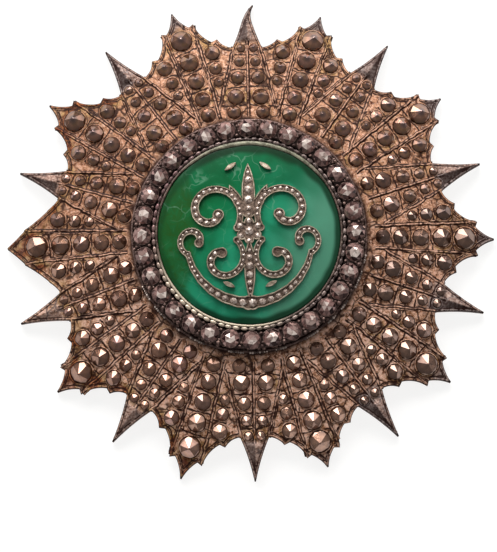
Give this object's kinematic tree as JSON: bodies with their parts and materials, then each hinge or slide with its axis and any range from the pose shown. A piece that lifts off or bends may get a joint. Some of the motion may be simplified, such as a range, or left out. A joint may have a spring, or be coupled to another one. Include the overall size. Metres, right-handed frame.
{
  "type": "breast star of an order",
  "caption": "Domed, rayed silver breast star set with faceted bosses, with a ring of cut stones round a green enamelled medallion; it pins to clothing.",
  "frame": {"origin": "under the middle of the star, on the surface it lies on face up", "axes": "+Z out of the star's face, +Y up the star along its top spike, +X to the right as one looks at the face"},
  "size_m": [0.0849, 0.0839, 0.0106],
  "materials": {
    "plate_silver": "rough old silver, mottled with a rose-brown tarnish",
    "boss_metal": "cut facets, dark brown-grey with bright cream reflections",
    "ring_silver": "silver blackened to a dark purple-brown",
    "cut_stone": "cut stone, foiled at the back",
    "rim_silver": "fine beading, tarnished",
    "bezel_silver": "smooth worn silver",
    "green_enamel": "glossy emerald enamel",
    "ornament_silver": "worn silver edges, set with small stones",
    "pin_silver": "satin silver with light tarnish"
  },
  "bodies": {
    "root": {"star_plate": "plate_silver", "ray_bosses": "boss_metal", "spike_bosses": "boss_metal", "stone_ring": "ring_silver", "milled_rim": "rim_silver", "bezel": "bezel_silver", "enamel_disc": "green_enamel", "ornament": "ornament_silver", "pin": "pin_silver", "ring_stone_01": "cut_stone", "ring_stone_02": "cut_stone", "ring_stone_03": "cut_stone", "ring_stone_04": "cut_stone", "ring_stone_05": "cut_stone", "ring_stone_06": "cut_stone", "ring_stone_07": "cut_stone", "ring_stone_08": "cut_stone", "ring_stone_09": "cut_stone", "ring_stone_10": "cut_stone", "ring_stone_11": "cut_stone", "ring_stone_12": "cut_stone", "ring_stone_13": "cut_stone", "ring_stone_14": "cut_stone", "ring_stone_15": "cut_stone", "ring_stone_16": "cut_stone", "ring_stone_17": "cut_stone", "ring_stone_18": "cut_stone", "ring_stone_19": "cut_stone", "ring_stone_20": "cut_stone", "ring_stone_21": "cut_stone", "ring_stone_22": "cut_stone", "ring_stone_23": "cut_stone", "ring_stone_24": "cut_stone", "ring_stone_25": "cut_stone", "ring_stone_26": "cut_stone", "ring_stone_27": "cut_stone", "ring_stone_28": "cut_stone", "ring_stone_29": "cut_stone", "ring_stone_30": "cut_stone", "ring_stone_31": "cut_stone", "ring_stone_32": "cut_stone"}
  },
  "joints": []
}
